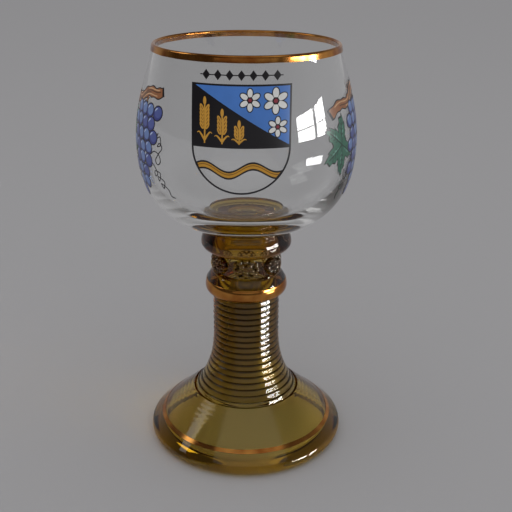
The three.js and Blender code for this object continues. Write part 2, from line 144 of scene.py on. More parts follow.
# Gilding
GILDING_LIFT = 0.03
GILDING_THICKNESS = 0.06
BAND_STEPS = 16
BRUSH_WAVES = 9  # waves added up into the uneven edge of a brushed band
BRUSH_TURNS = (2, 23)  # fewest and most times that one goes round
BRUSH_PHASE = 6.3  # most, in radians
BRUSH_SHARE = (0.3, 1)  # of the full swing
BRUSH_SUM = 5  # brings the added waves back to about 1
RIM_WANDER = 0.1  # how far a band's edge strays
BAND_WANDER = 0.12
RIM_BAND_HEIGHT = 2.1
RIM_BAND_INSIDE = 0.8
BEAD_BAND_TOP = 5.2  # above the bead's lower face
BEAD_BAND_BOTTOM = 0.9
FOOT_BAND_RADIUS = 31.4
FOOT_BAND_WIDTH = 1.6

# Enamel pictures: turn from the front, and heights above the bowl's base
ENAMEL_LIFT = 0.03
ENAMEL_THICKNESS = 0.06
PRINT_PITCH = 0.9  # corner to corner inside a picture
SAME_POINT = 1e-5  # corners of a picture that lie closer are one
SHIELD_TURN = math.radians(-2)
SHIELD_WIDTH = 29.8
SHIELD_TOP = 55.7
SHIELD_DIVIDE = 37.4
SHIELD_BOTTOM = 23.0
SHIELD_LINE = 0.55  # black line round the shield
DIVIDE_LINE = 0.35  # black left between the blue field and the black one
WAVE_WIDTH = 2.6
WAVE_OUTLINE = 0.55
WAVE_STREAK = 0.24
WAVE_STREAK_SHIFT = 0.22
WAVE_SWING = 1.5
WAVE_LEVEL = 30.6
WAVE_COUNT = 2
WHEAT_EARS = ((-10.9, 12.2), (-5.6, 9.0), (-0.5, 5.9))  # place across, height
WHEAT_LIFT = 1.2
WHEAT_STALK = 0.45
WHEAT_STALK_BEND = 0.1
WHEAT_LEAF = ((0.0, 0.08), (1.5, 0.26), (2.3, 0.24))  # out in millimetres, up as a share of the height
WHEAT_LEAF_WIDTHS = (0.7, 0.12)
GRAIN_STEP = 2.2  # height of the ear for each pair of grains
GRAIN_START = 0.42  # the first pair and the rest, as shares of the height
GRAIN_REST = 0.5
GRAIN_OUT = 0.85
GRAIN_HALF = (0.52, 1.15)  # half its width and height
GRAIN_LINE_HALF = (0.12, 0.7)
GRAIN_TILT = 0.42
TIP_GRAIN_HALF = (0.5, 1.2)
ROSETTES = ((2.6, 51.3, 3.4), (10.2, 51.0, 3.9), (10.9, 43.6, 3.1))  # across, up, radius
PETAL_COUNT = 6
PETAL_OUT = 0.58  # shares of the rosette's radius
PETAL_HALF = (0.45, 0.31)
PETAL_OUTLINE = 0.3  # in millimetres
HEART_RIM = 0.27
HEART = 0.16
ORNAMENT_LENGTH = 24.6
ORNAMENT_LEVEL = 58.2
LOZENGE_COUNT = 7
LOZENGE_HEIGHT = 3.0
LOZENGE_WIDTH = 2.3
ORNAMENT_LINE = 0.3
VINE_TURNS = {"left": math.radians(-68), "right": math.radians(72)}
GRAPE_RADIUS = 2.45
GRAPE_SPACING = 4.2
BUNCH_ROW_PITCH = 3.9
BUNCH_ROW_COUNTS = (4, 4, 4, 4, 3, 3, 2, 1)
BUNCH_SHIFT = 3.7
BUNCH_LEAN = 0.42  # how far each row sits to the left of the one above
BUNCH_TOP = 45.0
BUNCH_STRAY = 0.25  # how far a grape sits off its place
VINE_SEED = 11
RIPE_SHARE = 0.35  # of the grapes
GRAPE_SHADE = 0.45  # width of the violet crescent at a grape's lower left
GRAPE_SHADE_SHIFT = (0.25, 0.3)
GLEAM_OUT = 0.62  # share of a grape's radius
GLEAM_TURN = (100, 165)  # in degrees, on the upper left
GLEAM_WIDTHS = (0.1, 0.3, 0.42, 0.46, 0.46, 0.42, 0.36, 0.24, 0.1)
OUTLINE = 0.34  # black line round each grape, leaf and branch
PEN = 0.32  # tendrils
TENDRILS = (
    (
        (9.4, 31.8), (11.2, 33.0), (13.4, 32.4), (14.2, 30.4), (12.9, 29.0), (11.8, 30.2), (13.4, 32.6),
        (15.0, 34.6), (13.8, 36.0), (12.9, 34.9), (14.4, 35.6), (13.9, 38.0), (12.4, 37.4), (12.8, 39.0),
    ),
    (
        (8.6, 29.6), (10.8, 28.2), (12.2, 26.0), (10.9, 24.9), (11.0, 26.6), (13.6, 26.2), (12.6, 23.6),
        (12.2, 25.0), (14.9, 23.8), (14.0, 21.4), (13.4, 22.9), (16.0, 21.4), (16.4, 19.4), (17.8, 19.0),
    ),
    (
        (-9.0, 26.5), (-8.2, 23.6), (-6.4, 22.6), (-6.2, 24.4), (-8.0, 23.6), (-9.4, 21.0), (-7.8, 19.4),
        (-6.6, 21.0), (-8.6, 20.6), (-9.8, 17.6), (-9.2, 16.4),
    ),
)
BRANCH_LEVEL = 48.9
BRANCH_LENGTH = 27.4
BRANCH_SHIFT = -1.6
BRANCH_WIDTH = 3.4
BRANCH_SLOPE = math.radians(14)
BRANCH_SWING = 0.7  # how far the branch bends up and down
BRANCH_STEPS = 40
BRANCH_KNOTS = 0.14  # how much the branch swells and narrows
BRANCH_KNOT_PACE = 1.1
BARK_WIDTH = 0.36
BARK_STREAKS = (  # shift from the branch's middle, first and last step, colour
    (0.7, 4, 24, "tan"),
    (-0.3, 8, 30, "bark"),
    (-0.8, 14, 36, "tan"),
    (0.3, 20, 38, "bark"),
    (0.9, 26, 37, "tan"),
)
STALK = ((4.0, 49.0), (3.4, 47.4), (4.4, 45.6))  # of the bunch
STALK_WIDTH = 1.3
STALK_CORE = 0.7
LEAF_LEVEL = 35.0
LEAF_SHIFT = -11.0
LEAF_WIDTH = 16.0
LEAF_HEIGHT = 19.6
LEAF_TURN = 208  # where the leaf's tip points, in degrees
LEAF_LOBES = ((0, 1.0), (62, 0.95), (124, 0.9), (-62, 0.95), (-124, 0.9))  # angle from the tip, length
LEAF_LOBE_SPREAD = 52  # degrees from a lobe's tip to where it ends
LEAF_LOBE_POWER = 0.75
LEAF_HEART = 0.34  # how far out the leaf is between its lobes
LEAF_TEETH = 26
LEAF_TOOTH = 0.2
LEAF_STEPS = 208
LEAF_EDGE = 0.055  # black edge, as a share of the leaf's half size
SHEEN_SPOTS = ((-5, 0.24), (-7, 0.45), (-4, 0.7))  # light streak beside a vein: angle from it, how far out
SHEEN_WIDTHS = (0.5, 0.9, 0.15)
VEIN_WIDTH = 0.4
VEIN_REACH = 0.86  # share of the lobe's length
VEIN_STEPS = 9
TWIG_STARTS = (0.3, 0.46, 0.62)
TWIG_TURN = 13  # in degrees
TWIG_EASE = 0.5  # side veins further out turn off less
TWIG_REACH = 0.13
TWIG_WIDTH = 0.26

# Finishes and light
HOLLOW_ROUGHNESS = 0.3
FILM_PASSES = 0.92  # share of a lamp's light that a glass surface lets through
FLOOR_HALF = 3000
FLOOR_LEVEL = -0.2
AIM_HEIGHT = 0.08  # metres above the floor, the point that every softbox faces
BACKDROP_WAY = (0.5, 0.87, 0)  # the side of the glass that the pale backdrop is on
RIGHT_TURNS = (("near", 62, 0.24), ("far", 81, 0.15))  # azimuth, width in metres
RIGHT_ROWS = (("low", 4.6), ("high", 11.0))  # elevation
LEFT_TURNS = (("near", -91), ("far", -105))  # azimuth
PATH_BOUNCES = 32
CLEAR_BOUNCES = 64


def span(node):
    """Lowest and highest level of a CAD node, in millimetres."""
    low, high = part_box(node)
    return low[2] / MM, high[2] / MM


def reach(node):
    """How far a CAD node goes from the axis, in millimetres."""
    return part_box(node)[1][0] / MM


foot_top = span("domed_foot")[1]
stem_low, stem_top = span("ribbed_stem")
bead_low, bead_top = span("bead_ring")
neck_low, neck_top = span("neck_tube")
collar_low, collar_top = span("collar_ring")
bowl_low, bowl_top = span("bowl")
bowl_belly = bowl_low + BOWL_BELLY_HEIGHT
foot_radius = reach("domed_foot")
bead_radius = reach("bead_ring")
neck_end_radius = reach("neck_tube")
collar_radius = reach("collar_ring")
bowl_radius = reach("bowl")


# Profiles: lists of (radius, level), up the outside and down the inside

def curve(*handles, steps=40):
    """A Bezier curve through its first and last handle."""
    t = np.linspace(0, 1, steps + 1)[:, None]
    points = [np.array(h, float) for h in handles]
    while len(points) > 1:
        points = [a * (1 - t) + b * t for a, b in zip(points, points[1:])]
    return [tuple(p) for p in points[0]]


def arc(centre, across, up, start, end, steps=12):
    """Part of an ellipse between two angles in degrees."""
    angles = np.radians(np.linspace(start, end, steps + 1))
    return [(centre[0] + across * math.cos(a), centre[1] + up * math.sin(a)) for a in angles]


def offset(profile, distance):
    """Moves a profile sideways, outward where it runs up the outside."""
    points = np.array(profile)
    way = np.gradient(points, axis=0)
    way /= np.linalg.norm(way, axis=1)[:, None]
    return [tuple(p) for p in points + distance * np.stack([way[:, 1], -way[:, 0]], axis=1)]


def lengths(profile):
    """Distance along a profile to each of its points."""
    steps = np.linalg.norm(np.diff(np.array(profile), axis=0), axis=1)
    return np.concatenate([[0], np.cumsum(steps)])


def along(profile, distances):
    """The points of a profile at given distances along it."""
    points, marks = np.array(profile), lengths(profile)
    return np.stack([np.interp(distances, marks, points[:, i]) for i in (0, 1)], axis=1)


def flare(level):
    """How far the stem has spread at a level: 0 at its straight part, 1 at the foot."""
    return max(0.0, 1 - (level - foot_top) / FLARE_HEIGHT) ** FLARE_POWER


def stem_radius(level):
    return STEM_RADIUS + FLARE_SPREAD * flare(level)


def hollow_radius(level):
    return STEM_HOLLOW_RADIUS + (HOLLOW_MOUTH_RADIUS - STEM_HOLLOW_RADIUS) * flare(level)


def flared(radius_at, low, high, steps=60):
    """A flared surface between two levels."""
    return [(radius_at(z), z) for z in np.linspace(low, high, steps + 1)]


def foot_slope():
    """The foot's outside: the round edge, then the straight slope up to the stem."""
    top = np.array([stem_radius(foot_top), foot_top])
    edge = np.array([foot_radius - FOOT_EDGE_ROUND, FOOT_EDGE_ROUND])
    way = top - edge
    leave = math.atan2(way[1], way[0]) - math.acos(FOOT_EDGE_ROUND / np.linalg.norm(way))
    bend = arc(edge, FOOT_EDGE_ROUND, FOOT_EDGE_ROUND, -90, math.degrees(leave), 20)
    return bend, [bend[-1], tuple(top)]


def foot_profile():
    """The foot's outside, and the hollow under it with its rounded corners."""
    bend, slope = foot_slope()
    low, high = (np.array(p) for p in offset(slope, -FOOT_WALL))

    def on_line(r):
        """The spot of the hollow's straight slope at a radius."""
        return tuple(low + (high - low) * (r - low[0]) / (high[0] - low[0]))

    corner = on_line(FOOT_REST_INNER_RADIUS)
    mouth = (hollow_radius(stem_low), stem_low - MELTED_FILM)
    marks = np.linspace(0, lengths(slope)[-1], FOOT_SLOPE_STEPS)
    swell = FOOT_RIPPLE * (marks / marks[-1]) ** FOOT_RIPPLE_RISE
    ripple = swell * np.sin(2 * math.pi * marks / FOOT_RIPPLE_PITCH)
    outside = bend + [(r, z + lift) for (r, z), lift in zip(along(slope, marks), ripple)][1:]
    outside.append((stem_radius(stem_low), stem_low - MELTED_FILM))
    inside = curve(mouth, on_line(mouth[0]), on_line(mouth[0] + FOOT_HOLLOW_ROUND), steps=8)
    inside += curve(
        on_line(FOOT_REST_INNER_RADIUS - FOOT_HOLLOW_ROUND),
        corner,
        (FOOT_REST_INNER_RADIUS, corner[1] - FOOT_HOLLOW_ROUND),
        steps=8,
    )
    inside.append((FOOT_REST_INNER_RADIUS, 0))
    return outside, inside


def rib(slope):
    """A rib from the groove above it to the one below, as (depth, share of the pitch).

    Its face leans back by the same angle on the straight stem and where the stem slopes outward.
    """
    fall = RIB_PITCH * math.tan(RIB_LEAN - slope)
    most = max(0.0, fall) * RIB_FULLEST

    def depth(share):
        return min(most - fall * share, RIB_DEPTH_LOW)

    low = depth(RIB_FULLEST)
    face_pulls = [(depth(share), share) for share in RIB_FACE_PULLS]
    under_pulls = [(low + sink, share) for sink, share in RIB_UNDER_PULLS]
    face = curve((RIB_DEPTH, 0), *face_pulls, (low, RIB_FULLEST), steps=12)
    under = curve((low, RIB_FULLEST), *under_pulls, (RIB_DEPTH, 1), steps=7)
    return np.array(face + under[1:-1])[::-1]


def ribs():
    """The stem's outside, from the foot up, and how much painted shade each point has: 1 deep in a groove.
    """
    base = flared(stem_radius, stem_low, stem_top, BASE_STEPS)
    total = lengths(base)[-1]
    count = int(total / RIB_PITCH)
    pitch = total / count
    marks, depths, dark = [], [], []
    for i in range(count):
        (r_low, z_low), (r_high, z_high) = along(base, [i * pitch, (i + 1) * pitch])
        depth, share = rib(math.atan2(r_low - r_high, z_high - z_low)).T
        marks.append((i + 1 - share) * pitch)
        depths.append(depth)
        edge = GROOVE_EDGE * (1 - GROOVE_EASE * flare(z_low))
        # painted shade: dark towards each groove's bottom and on the rib's underside
        dark.append(np.clip((edge - share) / (GROOVE_EDGE - GROOVE_DARK), 0, 1) + (share > UNDER_DARK))
    marks, depths, dark = (np.concatenate(values) for values in (marks, depths, dark))
    crest = along(base, marks)
    way = along(base, marks + RIB_PITCH / 2) - along(base, marks - RIB_PITCH / 2)
    way /= np.linalg.norm(way, axis=1)[:, None]
    ribbed = crest - depths[:, None] * np.stack([way[:, 1], -way[:, 0]], axis=1)
    ribbed[0, 1], ribbed[-1, 1] = stem_low, bead_low - MELTED_FILM
    return [tuple(p) for p in ribbed], np.clip(dark, 0, 1)


def bead_outside():
    """A round belly with a long sloping top."""
    belly = (BEAD_FOOT_RADIUS, bead_low + BEAD_BELLY_HEIGHT)
    under = arc(belly, bead_radius - BEAD_FOOT_RADIUS, BEAD_BELLY_HEIGHT, -90, 0, 16)
    pull = (bead_radius, (belly[1] + bead_top) / 2)
    return under + curve(under[-1], pull, (BEAD_SHOULDER_RADIUS, bead_top), steps=24)[1:]


def neck_radius(level):
    """The neck narrows a little halfway up."""
    share = (level - neck_low) / (neck_top - neck_low)
    return neck_end_radius - NECK_WAIST * 4 * share * (1 - share)


def collar_outside():
    """A fat round ring that narrows under the bowl."""
    belly = (COLLAR_FOOT_RADIUS, collar_low + COLLAR_BELLY_HEIGHT)
    under = arc(belly, collar_radius - COLLAR_FOOT_RADIUS, COLLAR_BELLY_HEIGHT, -90, 0, 16)
    pull = (collar_radius, (belly[1] + collar_top) / 2)
    return under + curve(under[-1], pull, (COLLAR_TOP_RADIUS, collar_top), steps=24)[1:]


def bowl_outside():
    """From the base out to the belly and in again to the lip."""
    lip = bowl_top - BOWL_WALL / 2
    base = (BOWL_BASE_RADIUS, bowl_low)
    lower = curve(
        base,
        (base[0] + BASE_PULL * math.cos(BASE_SLOPE), base[1] + BASE_PULL * math.sin(BASE_SLOPE)),
        (bowl_radius, bowl_belly - LOWER_BELLY_PULL),
        (bowl_radius, bowl_belly),
    )
    upper = curve(
        (bowl_radius, bowl_belly),
        (bowl_radius, bowl_belly + UPPER_BELLY_PULL),
        (RIM_RADIUS + RIM_PULL * math.sin(RIM_SLOPE), lip - RIM_PULL * math.cos(RIM_SLOPE)),
        (RIM_RADIUS, lip),
    )
    return lower + upper[1:]


def bowl_lip():
    middle = (RIM_RADIUS - BOWL_WALL / 2, bowl_top - BOWL_WALL / 2)
    return arc(middle, BOWL_WALL / 2, BOWL_WALL / 2, 0, 180, 12)[1:-1]


def bowl_inside():
    """From the lip down to the middle of the floor."""
    lip = bowl_top - BOWL_WALL / 2
    floor = bowl_low + BOWL_FLOOR
    belly = bowl_radius - BOWL_WALL
    rim = RIM_RADIUS - BOWL_WALL
    upper = curve(
        (rim, lip),
        (rim + RIM_PULL * math.sin(RIM_SLOPE), lip - RIM_PULL * math.cos(RIM_SLOPE)),
        (belly, bowl_belly + UPPER_BELLY_PULL),
        (belly, bowl_belly),
    )
    lower = curve(
        (belly, bowl_belly),
        (belly, bowl_belly - INNER_BELLY_PULL),
        (FLOOR_PULL, floor),
        (0, floor),
    )
    return upper + lower[1:]


# Meshes

def mesh_object(name, points, faces, sharp=SMOOTH_ANGLE):
    """A smooth mesh of points in millimetres, with its hard edges kept."""
    mesh = bpy.data.meshes.new(name)
    mesh.from_pydata([tuple(p) for p in np.array(points) * MM], [], faces)
    mesh.polygons.foreach_set("use_smooth", [True] * len(mesh.polygons))
    mesh.set_sharp_from_angle(angle=sharp)
    mesh.update()
    piece = bpy.data.objects.new(name, mesh)
    bpy.context.scene.collection.objects.link(piece)
    return piece


def mark_melted(piece, flags):
    """Marks the faces where a piece is melted to its neighbour, so that light goes on unbent."""
    layer = piece.data.attributes.new("melted", "FLOAT", "FACE")
    layer.data.foreach_set("value", [float(f) for f in flags])


def mark_points(piece, name, values):
    """Gives each point of a piece a number, for its material to read."""
    layer = piece.data.attributes.new(name, "FLOAT", "POINT")
    layer.data.foreach_set("value", [float(v) for v in values])


def mark_hollow(piece, dull):
    """Marks the wall of the hollow that runs up from the foot, and how dull it is."""
    values = []
    for vertex in piece.data.vertices:
        x, y, z = vertex.co / MM
        values.append(dull * (math.hypot(x, y) < hollow_radius(z) + HOLLOW_NEAR))
    mark_points(piece, "hollow", values)


def turned(name, profile, melted=lambda a, b: False):
    """A profile turned about the axis. It closes on itself, or starts and ends on the axis."""
    points, faces, flags, rings = [], [], [], []
    turns = np.linspace(0, 2 * math.pi, SECTORS, endpoint=False)
    for r, z in profile:
        count = 1 if r < TINY else SECTORS
        rings.append(range(len(points), len(points) + count))
        points += [(r * math.sin(t), -r * math.cos(t), z) for t in turns[:count]]
    on_axis = len(rings[0]) == 1
    pairs = list(zip(rings, rings[1:])) + ([] if on_axis else [(rings[-1], rings[0])])
    ends = list(zip(profile, profile[1:])) + ([] if on_axis else [(profile[-1], profile[0])])
    for (a, b), (start, end) in zip(pairs, ends):
        for i in range(SECTORS):
            j = (i + 1) % SECTORS
            if len(a) == 1:
                faces.append((a[0], b[j], b[i]))
            elif len(b) == 1:
                faces.append((a[i], a[j], b[0]))
            else:
                faces.append((a[i], a[j], b[j], b[i]))
            flags.append(melted(start, end))
    piece = mesh_object(name, points, faces)
    mark_melted(piece, flags)
    return piece


def level_seam(*levels):
    """A test for the flat faces of a profile at the levels where pieces are melted together."""
    return lambda a, b: abs(a[1] - b[1]) < TINY and any(abs(a[1] - z) < 2 * MELTED_FILM for z in levels)


def glass_foot():
    outside, inside = foot_profile()
    return turned("glass_foot", outside + inside, level_seam(stem_low))


def glass_stem():
    top = bead_low - MELTED_FILM
    hollow = [(STEM_HOLLOW_RADIUS, top)] + flared(hollow_radius, stem_low, foot_top + FLARE_HEIGHT)[::-1]
    outside, dark = ribs()
    piece = turned("glass_stem", outside + hollow, level_seam(stem_low, top))
    # the painted shade of the grooves goes on the stem's points
    mark_points(piece, "painted_shade", np.repeat([*dark, *[0] * len(hollow)], SECTORS))
    mark_hollow(piece, STEM_HOLLOW_DULL)
    return piece


def glass_bead():
    top = neck_low - MELTED_FILM
    outside = bead_outside()
    outside[-1] = (BEAD_SHOULDER_RADIUS, top)
    outside += [(STEM_HOLLOW_RADIUS, top), (STEM_HOLLOW_RADIUS, bead_low)]
    piece = turned("glass_bead", outside, level_seam(bead_low, top))
    mark_hollow(piece, BEAD_HOLLOW_DULL)
    return piece


def prunt_share(turn, level):
    """How far out on the nearest prunt a spot of the neck lies: 1 at the prunt's edge."""
    step = 2 * math.pi / PRUNT_COUNT
    across = neck_radius(level) * ((turn + step / 2) % step - step / 2)
    middle = (neck_low + neck_top) / 2
    return math.hypot(2 * across / PRUNT_WIDTH, 2 * (level - middle) / PRUNT_HEIGHT)


def glass_neck():
    top = collar_low - MELTED_FILM
    levels = np.linspace(neck_low, top, NECK_LEVELS)
    profile = [(neck_radius(min(z, neck_top)), z) for z in levels]
    profile += [(STEM_HOLLOW_RADIUS, top), (STEM_HOLLOW_RADIUS, neck_low)]
    piece = turned("glass_neck", profile)
    flags = []
    for face in piece.data.polygons:
        x, y, z = face.center / MM
        outside = math.hypot(x, y) > (STEM_HOLLOW_RADIUS + neck_end_radius) / 2
        flat = abs(face.normal.z) > 0.5
        under = outside and prunt_share(math.atan2(x, -y), z) < PRUNT_SEAT
        flags.append(flat or under)
    piece.data.attributes["melted"].data.foreach_set("value", [float(f) for f in flags])
    mark_hollow(piece, NECK_HOLLOW_DULL)
    return piece


def berries():
    """Where the berries of a prunt sit, across and up from its middle, with their radius."""
    places = [(0.0, MIDDLE_BERRY_LIFT, BERRY_RADIUS)]
    for count, share, size, step in BERRY_RINGS:
        for i in range(count):
            angle = 2 * math.pi * (i + step) / count
            across = share * PRUNT_WIDTH / 2 * math.sin(angle)
            up = share * PRUNT_HEIGHT / 2 * math.cos(angle)
            places.append((across, up, size * BERRY_RADIUS))
    return places


def glass_prunt(index):
    """An oval pad melted on the neck and stamped into a raspberry."""
    columns = PRUNT_COLUMNS
    middle = (neck_low + neck_top) / 2
    turn = 2 * math.pi * index / PRUNT_COUNT
    seat = neck_end_radius
    places = berries()

    def spot(share, column):
        """Across and up from the prunt's middle, by its share of the way out and its column."""
        angle = 2 * math.pi * column / columns
        return share * PRUNT_WIDTH / 2 * math.sin(angle), share * PRUNT_HEIGHT / 2 * math.cos(angle)

    def bent(x, y, r):
        """The place on the round neck of a spot at a radius."""
        at = turn + x / seat
        return r * math.sin(at), -r * math.cos(at), middle + y

    def back(x, y):
        return bent(x, y, neck_radius(middle + y) + MELTED_FILM)

    def nearest(x, y):
        """The nearest berry's radius, and how near its middle a spot is: 1 there, 0 at its edge."""
        found = [(1 - ((x - bx) ** 2 + (y - by) ** 2) / size ** 2, size) for bx, by, size in places]
        near, size = max(found, key=lambda pair: pair[0])
        return size, near

    def front(share, x, y):
        pad = PRUNT_PAD * (1 - share ** PRUNT_PAD_ROUND)
        size, near = nearest(x, y)
        berry = size * math.sqrt(max(0.0, near)) * min(1.0, (1 - share) * PRUNT_EDGE_RISE)
        return bent(x, y, seat + pad + berry)

    points, faces, flags, dark = [front(0, 0, 0)], [], [], [0.0]
    shares = [(i / PRUNT_RINGS) ** PRUNT_RING_POWER for i in range(1, PRUNT_RINGS + 1)]
    for share in shares:
        for column in range(columns):
            x, y = spot(share, column)
            points.append(front(share, x, y) if share < 1 else back(x, y))
            # painted shade in the valleys between berries and round the prunt's edge
            valley = (VALLEY_EDGE - nearest(x, y)[1]) / (VALLEY_EDGE - VALLEY_DARK)
            dark.append(np.clip(max(valley, (share - PRUNT_SEAM) * PRUNT_SEAM_RISE), 0, 1))
    for share in PRUNT_BACK_RINGS:
        points += [back(*spot(share, column)) for column in range(columns)]
    points.append(back(0, 0))
    last = len(points) - 1
    total = len(shares) + len(PRUNT_BACK_RINGS)
    for column in range(columns):
        after = (column + 1) % columns
        faces.append((0, 1 + after, 1 + column))
        flags.append(False)
        for ring in range(total - 1):
            a = 1 + ring * columns
            b = a + columns
            faces.append((a + column, a + after, b + after, b + column))
            flags.append(ring >= len(shares) - 1)
        edge = last - columns
        faces.append((edge + column, edge + after, last))
        flags.append(True)
    piece = mesh_object(f"glass_prunt_{index + 1}", points, faces, PRUNT_SMOOTH_ANGLE)
    mark_melted(piece, flags)
    mark_points(piece, "painted_shade", dark + [0.0] * (len(points) - len(dark)))
    return piece


def glass_collar():
    """The ring that closes the hollow. Its seam with the neck has painted shade."""
    top = bowl_low - MELTED_FILM
    outside = collar_outside()
    outside[-1] = (COLLAR_TOP_RADIUS, top)
    dome = arc((0, collar_low), STEM_HOLLOW_RADIUS, COLLAR_HOLLOW_DEPTH, 90, 0, 14)
    dome[0] = (0.0, dome[0][1])
    dome[-1] = (STEM_HOLLOW_RADIUS, collar_low)
    piece = turned("glass_collar", dome + outside + [(0.0, top)], level_seam(collar_low, top))
    levels = [v.co.z / MM - collar_low for v in piece.data.vertices]
    # painted shade low on the collar, where it meets the neck
    mark_points(piece, "painted_shade", [SEAM_SHADE * (level < SEAM_DARK) for level in levels])
    return piece


def glass_bowl():
    under = [(0.0, bowl_low), (COLLAR_TOP_RADIUS, bowl_low)]
    profile = under + bowl_outside() + bowl_lip() + bowl_inside()
    profile[-1] = (0.0, profile[-1][1])
    return turned("glass_bowl", profile, lambda a, b: (a, b) == tuple(under))


def gilt_band(name, path, start, end, wander, seed):
    """A brushed-on band of gold along part of a profile, its edges a little uneven."""
    draw = random.Random(seed)
    waves = [
        (draw.randint(*BRUSH_TURNS), draw.uniform(0, BRUSH_PHASE), draw.uniform(*BRUSH_SHARE))
        for _ in range(BRUSH_WAVES)
    ]

    def drift(turn, side):
        """How far the edge strays at a turn round the axis. The two edges differ by their side's phase."""
        return sum(a * math.sin(n * turn + p + side) for n, p, a in waves) / BRUSH_SUM

    steps = BAND_STEPS
    under, over = (np.array(offset(path, lift)) for lift in (GILDING_LIFT, GILDING_LIFT + GILDING_THICKNESS))
    points, faces = [], []
    for i in range(SECTORS):
        turn = 2 * math.pi * i / SECTORS
        a, b = start + wander * drift(turn, 0), end + wander * drift(turn, 2)
        marks = np.linspace(max(a, 0), min(b, lengths(path)[-1]), steps)
        for r, z in [*along(over, marks), *along(under, marks)[::-1]]:
            points.append((r * math.sin(turn), -r * math.cos(turn), z))
    ring = 2 * steps
    for i in range(SECTORS):
        a, b = i * ring, (i + 1) % SECTORS * ring
        for k in range(ring):
            m = (k + 1) % ring
            faces.append((a + k, b + k, b + m, a + m))
    return mesh_object(name, points, faces)


def gilt_rim():
    outside = [p for p in bowl_outside() if p[1] > bowl_top - 2 * RIM_BAND_HEIGHT]
    inside = [p for p in bowl_inside() if p[1] > bowl_top - 2 * RIM_BAND_HEIGHT]
    path = outside + bowl_lip() + inside
    marks, levels = lengths(path), [p[1] for p in path]
    start = np.interp(bowl_top - RIM_BAND_HEIGHT, levels[:len(outside)], marks[:len(outside)])
    back = len(path) - len(inside)
    end = np.interp(RIM_BAND_INSIDE - bowl_top, [-z for z in levels[back:]], marks[back:])
    return gilt_band("gilt_rim", path, start, end, RIM_WANDER, seed=3)


def gilt_bead():
    path = bead_outside()
    marks, levels = lengths(path), [p[1] - bead_low for p in path]
    start, end = np.interp([BEAD_BAND_BOTTOM, BEAD_BAND_TOP], levels, marks)
    return gilt_band("gilt_bead", path, start, end, BAND_WANDER, seed=5)


def gilt_foot_ring():
    path = foot_slope()[1]
    path = [tuple(p) for p in along(path, np.linspace(0, lengths(path)[-1], 60))]
    middle = np.interp(-FOOT_BAND_RADIUS, [-p[0] for p in path], lengths(path))
    start, end = middle - FOOT_BAND_WIDTH / 2, middle + FOOT_BAND_WIDTH / 2
    return gilt_band("gilt_foot_ring", path, start, end, BAND_WANDER, seed=8)


# Enamel pictures, drawn flat as (across, up) and laid on the bowl

def resampled(outline):
    """A closed outline with no step longer than the print's pitch."""
    points = []
    for a, b in zip(outline, outline[1:] + outline[:1]):
        count = max(1, math.ceil(math.dist(a, b) / PRINT_PITCH))
        for i in range(count):
            points.append((a[0] + (b[0] - a[0]) * i / count, a[1] + (b[1] - a[1]) * i / count))
    return points


def painted(shapes):
    """Flat triangles of a picture. Each later shape covers the ones before it; None leaves bare glass."""
    points, faces = [], []
    for outline, _ in shapes:
        ring = resampled(outline)
        faces.append(list(range(len(points), len(points) + len(ring))))
        points += ring
    edge = np.array(points)
    low, high = edge.min(axis=0), edge.max(axis=0)
    for x in np.arange(low[0], high[0], PRINT_PITCH):
        for y in np.arange(low[1], high[1], PRINT_PITCH):
            if np.min(np.sum((edge - (x, y)) ** 2, axis=1)) > (PRINT_PITCH / 2) ** 2:
                points.append((x, y))
    knots = [Vector(p) for p in points]
    flat, _, triangles, _, _, owners = delaunay_2d_cdt(knots, [], faces, 1, SAME_POINT)
    kept = [(t, shapes[max(o)][1]) for t, o in zip(triangles, owners) if o and shapes[max(o)][1] is not None]
    return flat, kept


def enamel_picture(name, shapes, turn, palette):
    """Lays a painted picture on the bowl as a thin closed skin, one material for each colour."""
    flat, kept = painted(shapes)
    wall = bowl_outside()
    levels = [p[1] for p in wall]
    normals = np.array(offset(wall, 1.0)) - np.array(wall)
    used = sorted({i for t, _ in kept for i in t})
    place = {old: new for new, old in enumerate(used)}
    points = []
    for lift in (ENAMEL_LIFT + ENAMEL_THICKNESS, ENAMEL_LIFT):
        for i in used:
            level = bowl_low + flat[i].y
            r = np.interp(level, levels, [p[0] for p in wall])
            out, up = (np.interp(level, levels, normals[:, k]) for k in (0, 1))
            angle = turn + math.asin(flat[i].x / r)
            r += lift * out
            points.append((r * math.sin(angle), -r * math.cos(angle), level + lift * up))
    count = len(used)
    faces, slots, borders = [], [], {}
    for triangle, colour_name in kept:
        a, b, c = (place[i] for i in triangle)
        slot = palette.index(colour_name)
        faces += [(a, b, c), (c + count, b + count, a + count)]
        slots += [slot, slot]
        for start, end in ((a, b), (b, c), (c, a)):
            if (end, start) in borders:
                del borders[end, start]
            else:
                borders[start, end] = slot
    for (start, end), slot in borders.items():
        faces.append((end, start, start + count, end + count))
        slots.append(slot)
    piece = mesh_object(name, points, faces)
    for colour_name in palette:
        piece.data.materials.append(ENAMELS[colour_name])
    piece.data.polygons.foreach_set("material_index", slots)
    return piece


def ellipse(x, y, across, up, count=28, tilt=0.0):
    """An ellipse, or a lozenge when it has four corners."""
    points = []
    cos, sin = math.cos(tilt), math.sin(tilt)
    for i in range(count):
        a = 2 * math.pi * i / count
        u, v = across * math.cos(a), up * math.sin(a)
        points.append((x + u * cos - v * sin, y + u * sin + v * cos))
    return points


def ribbon(path, width):
    """A strip along a path. The width is one number, or one for each point."""
    points = np.array(path, float)
    way = np.gradient(points, axis=0)
    way /= np.linalg.norm(way, axis=1)[:, None]
    half = np.broadcast_to(np.array(width, float) / 2, (len(points),))[:, None]
    side = np.stack([-way[:, 1], way[:, 0]], axis=1) * half
    return [tuple(p) for p in points - side] + [tuple(p) for p in (points + side)[::-1]]


